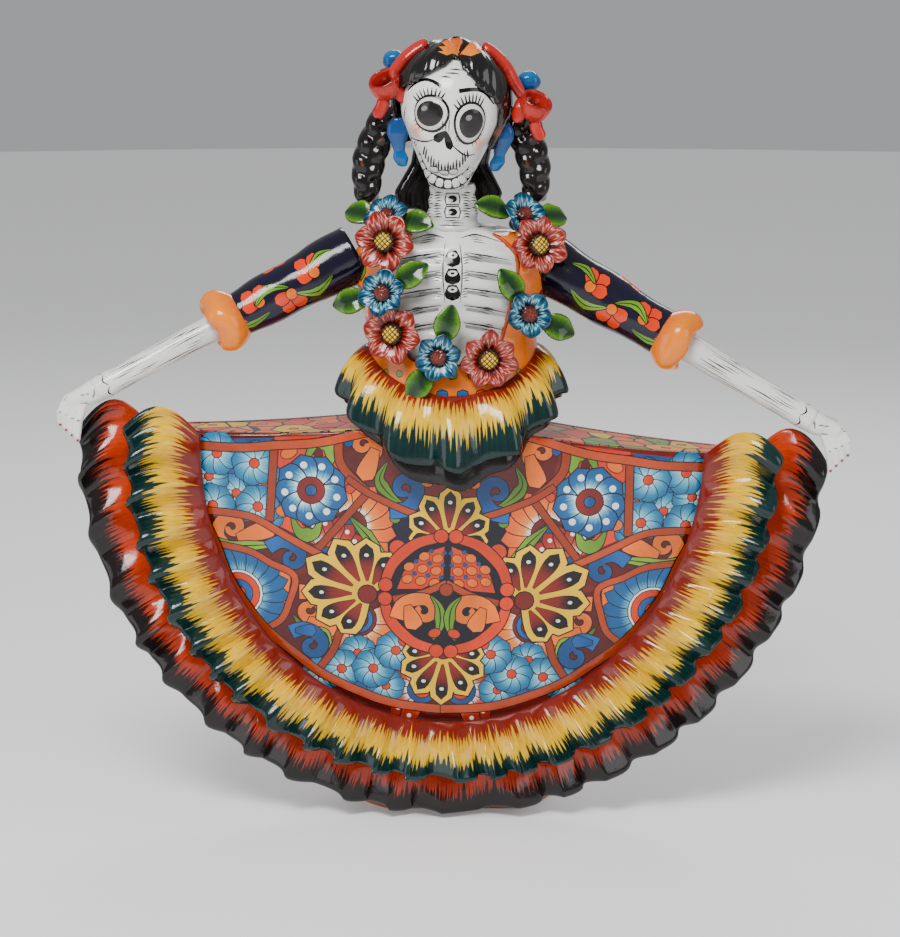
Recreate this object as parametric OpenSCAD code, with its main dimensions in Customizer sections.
// Glazed clay catrina dancer: a two-piece folk figure whose upper half lifts off a
// hollow, fan-shaped skirt. Millimetres, +Z up, front towards -Y, origin on the floor.

/* [Skirt body] */
// Radius of the fan-shaped skirt body's rim
skirt_r = 290; // [236:1:350]
// How far the front shell bulges forward of the rim
front_bulge = 48; // [40:1:60]
// How far the back shell bulges behind the rim
back_bulge = 45; // [40:1:56]
// Thickness of the clay walls
wall = 7; // [5.5:0.5:8.5]
// Radius of the dress's back where it stands
foot_r = 88; // [74:1:105]
// Slope of the fan, right corner lower, in degrees
fan_tilt = 2.5; // [0:0.5:4]
// Radius of the vent hole in the base plate
vent_r = 6; // [4:0.5:8]

/* [Ruffles] */
// Thickness of a rolled clay ruffle
ruffle_t = 6; // [5:0.5:7.5]
// Distance from the rim in to the painted panel's edge
panel_inset = 86; // [72:1:102]
// Number of waves along the rear ruffle
rear_waves = 21; // [16:1:26]
// Number of waves along the front ruffle
front_waves = 27; // [20:1:32]
// Number of waves around each peplum ruffle
peplum_waves = 13; // [10:1:15]
// Drop of a peplum ruffle at the side
peplum_drop = 50; // [42:1:60]

/* [Waist joint] */
// Inner radius of the collar on the skirt
collar_r = 29; // [25:0.5:31]
// Height of the collar's rim above the fan's centre
collar_rise = 32; // [28:1:38]
// Depth of the spigot that drops into the collar
spigot_depth = 34; // [28:1:41]
// Gap all round between spigot and collar
fit_gap = 1; // [0.6:0.1:2]

/* [Upper figure] */
// Height of the bodice from its seat to the base of the neck
torso_h = 148; // [123:1:178]
// Width across the chest
chest_w = 160; // [134:1:192]
// Depth of the chest, front to back
chest_d = 92; // [86:1:112]
// Radius of the neck
neck_r = 18; // [15:0.5:21.5]
// Height of the neck below the jaw
neck_h = 28; // [23:1:34]
// Width of the skull
skull_w = 84; // [70:1:101]
// Height of the skull from chin to crown
skull_h = 112; // [94:1:135]
// Thickness of the hair over the skull
hair_t = 8; // [6:0.5:10]
// Sideways tilt of the head
head_tilt = 3; // [0:1:10]

/* [Arms] */
// Radius of a sleeve at the shoulder
sleeve_r = 25; // [21:0.5:30]
// Radius of a forearm where it leaves the cuff
forearm_r = 12; // [10:0.5:14]
// Length of a hand over its knuckles
hand_len = 40; // [34:1:48]

/* [Flowers] */
// Radius of a large five-petalled red flower
red_r = 25; // [21:0.5:29]
// Radius of a small blue flower
blue_r = 20; // [17:0.5:23]
// Length of a leaf
leaf_len = 32; // [26:1:38]

/* [Hidden] */

tiny = 0.01;
rear_overhang = 22;          // drop of the rear hem below the body's rim
fan_z = skirt_r + rear_overhang;
corner_rise = 2;             // the fan's top edge above its centre, at the corners
waist_rise = 24;             // and at the waist
corner_x = skirt_r - panel_inset + 34;
foot_y = foot_r * 0.7;       // the foot's centre lies behind the fan
foot_front = -8;             // its front is cut flat here, behind the ruffles
back_seam = 1;               // the back of the dress starts this far behind the rim plane
seat_z = fan_z + collar_rise;
collar_t = 6;
neck_z = seat_z + torso_h;
skull_z = neck_z + neck_h;
skull_x = -4;                // the head sits a little to one side of the neck
skull_y = -4;
round_fn = 180;

// ---- points and lofts --------------------------------------------------------------

function ellipse_ring(cx, cy, z, a, b, n) =
    [for (i = [0:n - 1]) [cx + a * cos(360 * i / n), cy + b * sin(360 * i / n), z]];

// Rings of equal length become one closed solid with flat ends.
module loft(rings) {
    n = len(rings[0]);
    m = len(rings);
    points = [for (ring = rings) for (p = ring) p];
    sides = [for (j = [0:m - 2]) for (i = [0:n - 1])
        [j * n + i, (j + 1) * n + i, (j + 1) * n + (i + 1) % n, j * n + (i + 1) % n]];
    start = [[for (i = [0:n - 1]) i]];
    end = [[for (i = [n - 1:-1:0]) (m - 1) * n + i]];
    polyhedron(points, concat(sides, start, end), convexity = 8);
}

// The same, but the last ring joins the first, as round a waist.
module loop_loft(rings) {
    n = len(rings[0]);
    m = len(rings);
    points = [for (ring = rings) for (p = ring) p];
    sides = [for (j = [0:m - 1]) for (i = [0:n - 1])
        [j * n + i, ((j + 1) % m) * n + i, ((j + 1) % m) * n + (i + 1) % n,
         j * n + (i + 1) % n]];
    polyhedron(points, sides, convexity = 8);
}

function unit(v) = v / norm(v);
function tangent(path, i) =
    unit(path[min(i + 1, len(path) - 1)] - path[max(i - 1, 0)]);
// A ring of n points square to direction t, with half sizes a and b.
function ring_across(c, t, a, b, n) =
    let (side = unit(cross(t, abs(t[1]) > 0.9 ? [1, 0, 0] : [0, 1, 0])),
         up = cross(side, t))
    [for (i = [0:n - 1]) c + side * a * cos(360 * i / n) + up * b * sin(360 * i / n)];
module tube(path, radii, n, flat = 1) {
    loft([for (i = [0:len(path) - 1])
        ring_across(path[i], tangent(path, i), radii[i], radii[i] * flat, n)]);
}
module along(from, to) {
    d = to - from;
    translate(from) rotate([0, acos(d[2] / norm(d)), atan2(d[1], d[0])]) children();
}

// ---- skirt body --------------------------------------------------------------------

// The fan's own frame: its centre, sloping down to the right.
module fan_place() {
    translate([0, 0, fan_z]) rotate([0, fan_tilt, 0]) children();
}
function in_fan(p) =
    [p[0] * cos(fan_tilt) + p[2] * sin(fan_tilt), p[1],
     fan_z - p[0] * sin(fan_tilt) + p[2] * cos(fan_tilt)];

function cap_radius(bulge) = (skirt_r * skirt_r + bulge * bulge) / (2 * bulge);
// Depth of a round cap at distance q from its middle, t inside its surface.
function cap_depth(q, bulge, t = 0) =
    let (k = cap_radius(bulge)) bulge - k + sqrt(pow(k - t, 2) - q * q);
function cap_rim(bulge, t) =
    let (k = cap_radius(bulge)) sqrt(pow(k - t, 2) - pow(k - bulge, 2));

// Half of the fan's solid form, t inside its surface, in front (-1) or behind (1).
module half_fan(side, t) {
    bulge = side < 0 ? front_bulge : back_bulge;
    steps = 14;
    rim = cap_rim(bulge, t);
    rotate([side < 0 ? 90 : -90, 0, 0]) rotate_extrude($fn = round_fn)
        polygon(concat([[0, 0]], [for (i = [steps:-1:0])
            [rim * i / steps, i == steps ? 0 : cap_depth(rim * i / steps, bulge, t)]]));
}
// Everything under the top edge, which rises from the corners to the waist.
function top_edge(x) =
    corner_rise + (waist_rise - corner_rise) * pow(1 - min(1, abs(x) / corner_x), 2);
module under_edge(t) {
    steps = 8;
    far = 1.2 * skirt_r;
    rotate([90, 0, 0]) translate([0, 0, -skirt_r]) linear_extrude(2 * skirt_r)
        polygon(concat(
            [for (i = [-steps:steps]) let (x = i / steps * corner_x) [x, top_edge(x) - t]],
            [[far, corner_rise - t], [far, -far], [-far, -far], [-far, corner_rise - t]]));
}
// A dished shell, open towards the other one.
module fan_shell(side) {
    fan_place() intersection() {
        difference() {
            half_fan(side, 0);
            half_fan(side, wall);
        }
        under_edge(0);
    }
}
module skirt_front_shell() color("orangered") fan_shell(-1);
module skirt_back_shell() color("royalblue") fan_shell(1);

// The strip that closes the top between the two shells.
module skirt_top_band() color("orange") difference() {
    fan_place() intersection() {
        union() {
            half_fan(-1, wall);
            half_fan(1, wall);
        }
        difference() {
            under_edge(0);
            under_edge(wall);
        }
    }
    cylinder(r = collar_r + collar_t, h = fan_z + 2 * skirt_r, $fn = 64);
}

// The back of the dress: a leaning hollow cone from the waist to the foot.
back_h = fan_z + waist_rise - 6;
back_lean = atan(foot_y / back_h);
module dress_cone(t) {
    translate([0, foot_y, 0]) rotate([back_lean, 0, 0]) translate([0, 0, -4 * wall])
        cylinder(r1 = foot_r - t, r2 = back_bulge + 5 - t,
                 h = back_h / cos(back_lean) + 4 * wall, $fn = round_fn);
}
module behind(y, low) {
    translate([-2 * skirt_r, y, low]) cube([4 * skirt_r, 4 * skirt_r, 4 * skirt_r]);
}
// The round form that the back shell is part of.
module back_ball() {
    k = cap_radius(back_bulge);
    rotate([-90, 0, 0]) translate([0, 0, back_bulge - k]) sphere(r = k, $fn = 300);
}
module dress_back() color("royalblue") difference() {
    intersection() {
        difference() {
            dress_cone(0);
            intersection() {
                dress_cone(wall);
                behind(back_seam + wall, -wall);
            }
        }
        behind(back_seam, wall);
    }
    fan_place() back_ball();
    translate([0, 0, back_h - wall * 2]) cylinder(r = skirt_r, h = skirt_r, $fn = 64);
}
module base_plate() color("sienna") difference() {
    intersection() {
        translate([0, foot_y, 0]) cylinder(r = foot_r, h = wall, $fn = round_fn);
        behind(foot_front, -wall);
    }
    translate([0, foot_y, -tiny]) cylinder(r = vent_r, h = wall + 2 * tiny, $fn = 48);
}
module waist_collar() color("sienna") translate([0, 0, fan_z - 12]) difference() {
    cylinder(r = collar_r + collar_t, h = collar_rise + 12, $fn = 64);
    translate([0, 0, -tiny]) cylinder(r = collar_r, h = collar_rise + 12 + 2 * tiny, $fn = 64);
}

// ---- ruffles -----------------------------------------------------------------------

// One station of a fan ruffle at angle a from straight down. The root lies on the front
// shell, the hem is pushed in and out by the wave. The root reaches slant times as far
// round as the hem, so the ends are cut on a slant.
function fan_point(a, ra, rb, y) = [ra * sin(a), y, -rb * cos(a)];
function fan_station(a, root, hem, flare, slant, wave, t) =
    let (b = a * slant,
         q = min(skirt_r, norm([root[0] * sin(b), root[1] * cos(b)])),
         y0 = -cap_depth(q, front_bulge) - t - 0.3,
         mid = (root + hem) / 2)
    [fan_point(b, root[0], root[1], y0),
     fan_point((a + b) / 2, mid[0], mid[1], y0 - flare * 0.6 + wave * 0.5),
     fan_point(a, hem[0], hem[1], y0 - flare + wave),
     fan_point(a, hem[0], hem[1], y0 - flare + wave + t),
     fan_point((a + b) / 2, mid[0], mid[1], y0 - flare * 0.6 + wave * 0.5 + t),
     fan_point(b, root[0], root[1], y0 + t)];
module fan_ruffle(root, hem, flare, height, waves, reach, slant) {
    steps = waves * 6;
    loft([for (i = [0:steps])
        let (a = reach * (2 * i / steps - 1), turn = 360 * waves * i / steps)
        fan_station(a, root, hem + [1, 1] * height * 0.35 * cos(turn), flare, slant,
                    height * sin(turn), ruffle_t)]);
}
// Side and bottom radii of each ruffle's root and hem.
rear_root = [skirt_r - panel_inset / 2, skirt_r - panel_inset / 2 + 9];
rear_hem = [skirt_r + 14, skirt_r + rear_overhang - 1];
front_root = [skirt_r - panel_inset, skirt_r - panel_inset + 29];
front_hem = [skirt_r - 26, skirt_r - 14];

module skirt_rear_ruffle() color("orangered") intersection() {
    fan_place() fan_ruffle(rear_root, rear_hem, 16, 7, rear_waves, 89.8, 1.065);
    translate([-2 * skirt_r, -skirt_r, 0]) cube([4 * skirt_r, 2 * skirt_r, 2 * skirt_r]);
}
module skirt_front_ruffle() color("gold")
    fan_place() fan_ruffle(front_root, front_hem, 30, 7, front_waves, 93, 0.98);

// ---- torso -------------------------------------------------------------------------

// Share of torso_h, half width and half depth as shares of the chest.
torso_form = [
    [0.00, 0.86, 1.22], [0.10, 0.90, 1.26], [0.22, 0.88, 1.16], [0.38, 0.86, 1.00],
    [0.55, 0.93, 0.98], [0.75, 1.00, 0.98], [0.87, 0.95, 0.86], [0.95, 0.72, 0.66],
    [1.00, 0.34, 0.46]
];
function form_at(h, k) = lookup(h, [for (row = torso_form) [row[0], row[k]]]);
function torso_a(h) = form_at(h, 1) * chest_w / 2;
function torso_b(h) = form_at(h, 2) * chest_d / 2;
module torso(t, n = 24) {
    loft([for (row = torso_form)
        ellipse_ring(0, 0, seat_z + row[0] * torso_h,
                     row[1] * chest_w / 2 - t, row[2] * chest_d / 2 - t, n)]);
}
// Everything between two shares of the torso's height.
module torso_slice(low, high) {
    translate([-chest_w, -chest_w, seat_z + low * torso_h])
        cube([2 * chest_w, 2 * chest_w, (high - low) * torso_h]);
}
// The opening of the vest, where the ribs show.
module vest_window() {
    w = chest_w * 0.31;
    translate([0, 0, seat_z]) rotate([90, 0, 0]) linear_extrude(chest_d)
        polygon([[-w * 0.8, torso_h * 0.28], [w * 0.8, torso_h * 0.28],
                 [w, torso_h * 0.5], [w * 1.1, torso_h * 0.8], [w * 0.8, torso_h * 1.1],
                 [-w * 0.8, torso_h * 1.1], [-w * 1.1, torso_h * 0.8], [-w, torso_h * 0.5]]);
}
vest_t = 4;                  // thickness of the vest over the ribs
module bodice() color("darkorange") difference() {
    intersection() {
        torso(0);
        torso_slice(0, 0.955);
    }
    torso(vest_t);
    vest_window();
}
module rib_cage() color("whitesmoke") difference() {
    intersection() {
        torso(vest_t + 0.2);
        torso_slice(0.2, 0.975);
    }
    torso(vest_t + wall);
}
floor_r = chest_d * 0.5;
module bodice_floor() color("sienna") translate([0, 0, seat_z]) difference() {
    intersection() {
        cylinder(r = floor_r * 1.3, h = wall, $fn = 64);
        translate([0, 0, -seat_z]) torso(vest_t + 0.2);
    }
    translate([0, 0, -tiny])
        cylinder(r = collar_r - fit_gap - wall, h = wall + 2 * tiny, $fn = 64);
}
module waist_spigot() color("sienna") translate([0, 0, seat_z - spigot_depth]) difference() {
    cylinder(r = collar_r - fit_gap, h = spigot_depth, $fn = 64);
    translate([0, 0, -tiny])
        cylinder(r = collar_r - fit_gap - wall, h = spigot_depth + 2 * tiny, $fn = 64);
}

// ---- peplum ------------------------------------------------------------------------

// One station round the waist: root on the bodice, hem out and down. The root dips
// from share high at the sides and back to share low in front. At the sides it hangs down
// by only a share of its drop, so that it clears the skirt's top edge.
function waist_station(a, low, high, out, drop, side, wave, t) =
    let (front = pow(max(0, -sin(a)), 1.5),
         h = high + (low - high) * front,
         ra = torso_a(h) + 0.3,
         rb = torso_b(h) + 0.3,
         z0 = seat_z + h * torso_h,
         fall = drop * (side + (1.24 - side) * front * front),
         reach = out * (0.66 + 0.34 * pow(abs(sin(a)), 0.7)),
         mid = reach * 0.55 + wave * 0.5,
         end = reach + wave)
    [[ra * cos(a), rb * sin(a), z0],
     [(ra + mid) * cos(a), (rb + mid) * sin(a), z0 - fall * 0.4],
     [(ra + end) * cos(a), (rb + end) * sin(a), z0 - fall],
     [(ra + end - t) * cos(a), (rb + end - t) * sin(a), z0 - fall - t * 0.3],
     [(ra + mid - t) * cos(a), (rb + mid - t) * sin(a), z0 - fall * 0.4 - t],
     [ra * cos(a), rb * sin(a), z0 - t]];
module waist_ruffle(low, high, out, drop, side, height) {
    steps = peplum_waves * 6;
    loop_loft([for (i = [0:steps - 1])
        let (turn = 360 * i / steps)
        waist_station(-turn, low, high, out, drop, side,
                      height * sin(peplum_waves * turn), ruffle_t)]);
}
module peplum_front_ruffle() color("gold") waist_ruffle(0.09, 0.31, 27, peplum_drop, 0.78, 7);
module peplum_rear_ruffle() color("orangered")
    waist_ruffle(0.05, 0.22, 20, peplum_drop, 0.42, 3.5);

// ---- head --------------------------------------------------------------------------

// Share of skull_h from the chin, half width share, half depth share, forward offset.
skull_form = [
    [0.00, 0.28, 0.26, -17], [0.05, 0.42, 0.42, -13], [0.16, 0.56, 0.60, -8],
    [0.29, 0.72, 0.78, -4], [0.40, 0.86, 0.92, -1], [0.50, 0.97, 1.00, 0],
    [0.64, 1.00, 1.04, 0], [0.78, 0.92, 0.98, 1], [0.89, 0.72, 0.80, 2],
    [0.96, 0.46, 0.54, 3], [1.00, 0.16, 0.20, 4]
];
skull_depth = 0.98;          // skull depth as a share of its width
module skull_solid(t, n = 24) {
    loft([for (row = skull_form)
        ellipse_ring(0, row[3], row[0] * (skull_h + 2 * t) - t, row[1] * skull_w / 2 + t,
                     row[2] * skull_w / 2 * skull_depth + t, n)]);
}
module head_place() {
    translate([skull_x, skull_y, skull_z]) rotate([0, head_tilt, 0]) children();
}
module neck() color("whitesmoke") translate([0, -3, neck_z - 5]) difference() {
    cylinder(r1 = neck_r * 1.25, r2 = neck_r, h = neck_h + 9, $fn = 48);
    translate([0, 0, -tiny]) cylinder(r = neck_r - wall, h = neck_h + 20, $fn = 48);
    translate([skull_x, skull_y + 3, skull_z - neck_z + 5]) rotate([0, head_tilt, 0])
        skull_solid(0.2);
}
module skull() color("white") head_place() difference() {
    skull_solid(0);
    translate([0, 0, skull_h * 0.56]) sphere(r = skull_w / 2 - wall, $fn = 24);
}
module face_window() {
    translate([0, -skull_w * 0.98, skull_h * 0.38]) rotate([-90, 0, 0])
        scale([1, 1.3, 1]) cylinder(r = skull_w * 0.47, h = skull_w, $fn = 32);
}
module hair_cap() color([0.12, 0.1, 0.09]) head_place() difference() {
    skull_solid(hair_t);
    skull_solid(0.15);
    face_window();
    translate([-skull_w, -skull_w, -skull_h * 0.5])
        cube([2 * skull_w, 2 * skull_w, skull_h * 0.8]);
}
module back_hair() color([0.12, 0.1, 0.09])
    loft([for (i = [0:6])
        let (k = i / 6)
        ellipse_ring(skull_x + skull_h * 0.02 * (1 - k), skull_y + skull_w * 0.38,
                     skull_z + skull_h * 0.26 - k * (skull_h * 0.26 + neck_h - 2),
                     skull_w * (0.34 + 0.16 * k * k), 11 - 3 * k, 16)]);

module braid(side) color([0.12, 0.1, 0.09]) {
    steps = 14;
    top = skull_h * 0.5;
    drop = top + neck_h * 0.3;
    x0 = skull_x + side * (skull_w * 0.5 + 9) + top * sin(head_tilt);
    path = [for (i = [0:steps])
        let (k = i / steps)
        [x0 + side * (17 * k + 6 * sin(180 * k)), 16 - 10 * k, skull_z + top - k * drop]];
    tube(path, [for (i = [0:steps])
        10 + 1.4 * sin(i * 150) - 4 * pow(i / steps, 5)], 10, 0.85);
}
module earring(side) color("dodgerblue") head_place()
    tube([for (i = [0:6])
        [side * (skull_w * 0.5 + 4.5 + 1.5 * sin(30 * i) - i * 0.9), -6 + 0.6 * i,
         skull_h * 0.55 - i * 8.2]],
        [2.5, 6.5, 7, 5, 3.6, 5, 2.5], 10, 0.55);
// A flat ribbon from the crown's side down to the bow.
ribbon_r = skull_w * 0.5 + hair_t + 1;
module ribbon(side) color("crimson") head_place() mirror([side > 0 ? 1 : 0, 0, 0])
    translate([0, 5, skull_h * 0.60]) rotate([90, 0, 0]) rotate([0, 0, 108])
        translate([0, 0, -5.5])
            rotate_extrude(angle = 50, $fn = 96) translate([ribbon_r, 0]) square([4.5, 11]);
bow_x = skull_w * 0.5 + 19;
bow_z = skull_h * 0.70;
module bow(side) color("crimson") head_place()
    translate([side * bow_x, -4, bow_z]) rotate([78, 0, side * 24])
        rotate_extrude($fn = 48) translate([9.5, 0]) circle(r = 4.6, $fn = 24);
module bead(side) color("deepskyblue") head_place()
    translate([side * (bow_x - 6), 6, bow_z + 22]) sphere(r = 8, $fn = 32);

// ---- arms --------------------------------------------------------------------------

// Each hand holds the rear ruffle's upper corner, so the arm ends in front of it.
function shoulder_at(side) =
    [side * (chest_w / 2 - 4), 2, seat_z + torso_h * 0.8 - side * 2 * fan_tilt];
function wrist_at(side) = in_fan([side * (skirt_r - 2), -40, 36]);
arm_share = 0.49;            // where the cuff sits between shoulder and wrist
function elbow_at(side) =
    shoulder_at(side) + (wrist_at(side) - shoulder_at(side)) * arm_share;
cuff_r = sleeve_r * 0.72;
cuff_len = 27;
module sleeve(side) color("midnightblue") {
    from = shoulder_at(side);
    to = elbow_at(side);
    difference() {
        along(from, to)
            cylinder(r1 = sleeve_r, r2 = cuff_r, h = norm(to - from) - cuff_len / 2, $fn = 48);
        along(from, to) translate([0, 0, 6])
            cylinder(r = cuff_r - wall * 0.7, h = norm(to - from), $fn = 48);
        torso(-0.3);
    }
}
module cuff(side) color("orange") {
    from = shoulder_at(side);
    to = elbow_at(side);
    along(from, to) translate([0, 0, norm(to - from) - cuff_len / 2])
        rotate_extrude($fn = 64) polygon(concat(
            [[forearm_r + 0.2, 0]],
            [for (i = [0:12]) let (k = i / 12)
                [cuff_r + 10 * sin(180 * min(1, k * 1.05)) - 4 * k, cuff_len * k]],
            [[forearm_r + 0.2, cuff_len]]));
}
module forearm(side) color("whitesmoke") {
    to = wrist_at(side);
    d = unit(to - elbow_at(side));
    start = elbow_at(side) - d * cuff_len * 0.9;
    len = norm(to - start);
    along(start, to) rotate_extrude($fn = 48) polygon([
        [0, 0], [forearm_r, 0], [forearm_r, cuff_len * 1.4], [forearm_r * 0.8, len], [0, len]
    ]);
}
module finger_bone(a, b, ra, rb) {
    hull() {
        translate(a) sphere(r = ra, $fn = 10);
        translate(b) sphere(r = rb, $fn = 10);
    }
}
module finger(a, b, c, r) {
    finger_bone(a, b, r, r);
    finger_bone(b, c, r, r * 0.8);
}
// A hand bent over the ruffle's corner: fingers in front, thumb behind, open below.
module hand(side) color("whitesmoke") {
    w = wrist_at(side);
    k = hand_len / 40;
    d = unit(w - elbow_at(side));
    difference() {
        hull() {
            translate(w + d * 5 * k) sphere(r = forearm_r * 0.8 * k, $fn = 16);
            translate(w + k * [side * 21, 2, -10]) sphere(r = 7 * k, $fn = 16);
            translate(w + k * [side * 20, 31, -8]) sphere(r = 5.5 * k, $fn = 16);
        }
        along(w - d * 20, w) cylinder(r = forearm_r + 4, h = 20, $fn = 24);
    }
    for (f = [0:2])
        finger(w + k * [side * (12 + 6 * f), -2 - f, -12], w + k * [side * (16 + 6 * f), -5, -26 + f],
               w + k * [side * (17 + 5 * f), -3, -42 + 3 * f], 3.9 * k);
    finger(w + k * [side * 21, 32, -9], w + k * [side * 21, 35, -18],
           w + k * [side * 18, 35, -30], 4 * k);
}

// ---- flowers and leaves ------------------------------------------------------------

// A dished flower standing on its back, n petals, on a short clay stem.
module petals(r, n, stem) {
    per = 6;
    count = n * per;
    function edge(i) = 0.80 + 0.20 * pow(abs(cos(180 * i / per)), 0.6);
    function ring(q, z) = [for (i = [0:count - 1])
        let (a = 360 * i / count, rim = q > 0.6 ? q * edge(i) : q)
        [r * rim * cos(a), r * rim * sin(a), z + (q > 0.6 ? r * 0.06 * cos(360 * i / per) : 0)]];
    loft([ring(0.42, 0), ring(0.95, r * 0.20), ring(1.0, r * 0.34), ring(0.7, r * 0.40),
          ring(0.34, r * 0.22)]);
    translate([0, 0, -stem]) cylinder(r = r * 0.36, h = stem + r * 0.1, $fn = 24);
}
module button(r) {
    translate([0, 0, r * 0.24]) intersection() {
        translate([0, 0, -r * 0.06]) sphere(r = r * 0.36, $fn = 32);
        translate([-r, -r, 0.05]) cube(2 * r);
    }
}
module leaf(len, wide) {
    steps = 7;
    loft([for (i = [0:steps])
        let (k = i / steps, w = wide * pow(sin(8 + 166 * k), 0.8), bow = len * 0.10 * sin(180 * k))
        [[-w, len * k, bow + w * 0.22], [0, len * k, bow - 0.6], [w, len * k, bow + w * 0.22],
         [w * 0.9, len * k, bow + w * 0.22 + 2.6], [0, len * k, bow + 2.6],
         [-w * 0.9, len * k, bow + w * 0.22 + 2.6]]]);
}
// Places a child on the torso at side position x and height share h. It stands off by
// lift, turns outwards less than the torso does, and its face is turned up by pitch.
module on_torso(x, h, lift, pitch) {
    a = torso_a(h);
    b = torso_b(h);
    s = max(-0.97, min(0.97, x / a));
    turn = atan2(s / a, sqrt(1 - s * s) / b) * 0.5;
    translate([x, -b * sqrt(1 - s * s), seat_z + h * torso_h]) rotate([0, 0, turn])
        rotate([90 - pitch, 0, 0]) translate([0, 0, lift]) children();
}
// Side position as a share of chest_w, height share, stand-off, pitch.
spot_chest_left = [-0.32, 0.90, 9, 12];
spot_chest_right = [0.40, 0.88, 10, 10];
spot_waist_left = [-0.28, 0.42, 10, 4];
spot_waist_right = [0.17, 0.30, 6, -4];
spot_shoulder_left = [-0.28, 0.97, 16, 34];
spot_shoulder_right = [0.30, 0.97, 18, 34];
spot_side_left = [-0.32, 0.62, 17, 14];
spot_side_right = [0.35, 0.51, 14, 10];
spot_waist_blue = [-0.065, 0.32, 13, -2];
module place(s) { on_torso(s[0] * chest_w, s[1], s[2], s[3]) children(); }
module on_vest() { difference() { children(); torso(0); } }
module red_flower(s) color("indianred") on_vest() place(s) petals(red_r, 6, s[2] + 4);
module blue_flower(s) color("steelblue") on_vest() place(s) petals(blue_r, 5, s[2] + 4);
module yellow_button(s) color("gold") place(s) button(red_r);
module brown_button(s) color("brown") place(s) button(blue_r);
// A leaf springs from behind a flower of radius r, at angle a round it.
module leaf_by(s, a, r) {
    place(s) translate([0, 0, -2]) rotate([0, 0, a]) translate([0, r * 0.55, 0])
        leaf(leaf_len, leaf_len * 0.28);
}
module leaf_pair(s, a, b) color("forestgreen") {
    leaf_by(s, a, blue_r);
    leaf_by(s, b, blue_r);
}

// ---- nodes -------------------------------------------------------------------------

skirt_front_shell();
skirt_back_shell();
skirt_top_band();
dress_back();
base_plate();
skirt_front_ruffle();
skirt_rear_ruffle();
waist_collar();
bodice();
rib_cage();
bodice_floor();
waist_spigot();
peplum_front_ruffle();
peplum_rear_ruffle();
neck();
skull();
hair_cap();
back_hair();
braid(-1);  // braid_left
braid(1);  // braid_right
ribbon(-1);  // ribbon_left
ribbon(1);  // ribbon_right
bow(-1);  // bow_left
bow(1);  // bow_right
bead(-1);  // bead_left
bead(1);  // bead_right
earring(-1);  // earring_left
earring(1);  // earring_right
sleeve(-1);  // sleeve_left
sleeve(1);  // sleeve_right
cuff(-1);  // cuff_left
cuff(1);  // cuff_right
forearm(-1);  // forearm_left
forearm(1);  // forearm_right
hand(-1);  // hand_left
hand(1);  // hand_right
red_flower(spot_chest_left);  // red_flower_chest_left
red_flower(spot_chest_right);  // red_flower_chest_right
red_flower(spot_waist_left);  // red_flower_waist_left
red_flower(spot_waist_right);  // red_flower_waist_right
blue_flower(spot_shoulder_left);  // blue_flower_shoulder_left
blue_flower(spot_shoulder_right);  // blue_flower_shoulder_right
blue_flower(spot_side_left);  // blue_flower_side_left
blue_flower(spot_side_right);  // blue_flower_side_right
blue_flower(spot_waist_blue);  // blue_flower_waist
yellow_button(spot_chest_left);  // button_chest_left
yellow_button(spot_chest_right);  // button_chest_right
yellow_button(spot_waist_left);  // button_waist_left
yellow_button(spot_waist_right);  // button_waist_right
brown_button(spot_shoulder_left);  // button_shoulder_left
brown_button(spot_shoulder_right);  // button_shoulder_right
brown_button(spot_side_left);  // button_side_left
brown_button(spot_side_right);  // button_side_right
brown_button(spot_waist_blue);  // button_waist_blue
leaf_pair(spot_shoulder_left, 85, -95);  // leaves_shoulder_left
leaf_pair(spot_shoulder_right, 70, -95);  // leaves_shoulder_right
leaf_pair(spot_side_left, 105, -55);  // leaves_side_left
leaf_pair(spot_side_right, 30, -115);  // leaves_side_right
leaf_pair(spot_waist_blue, -15, 145);  // leaves_waist
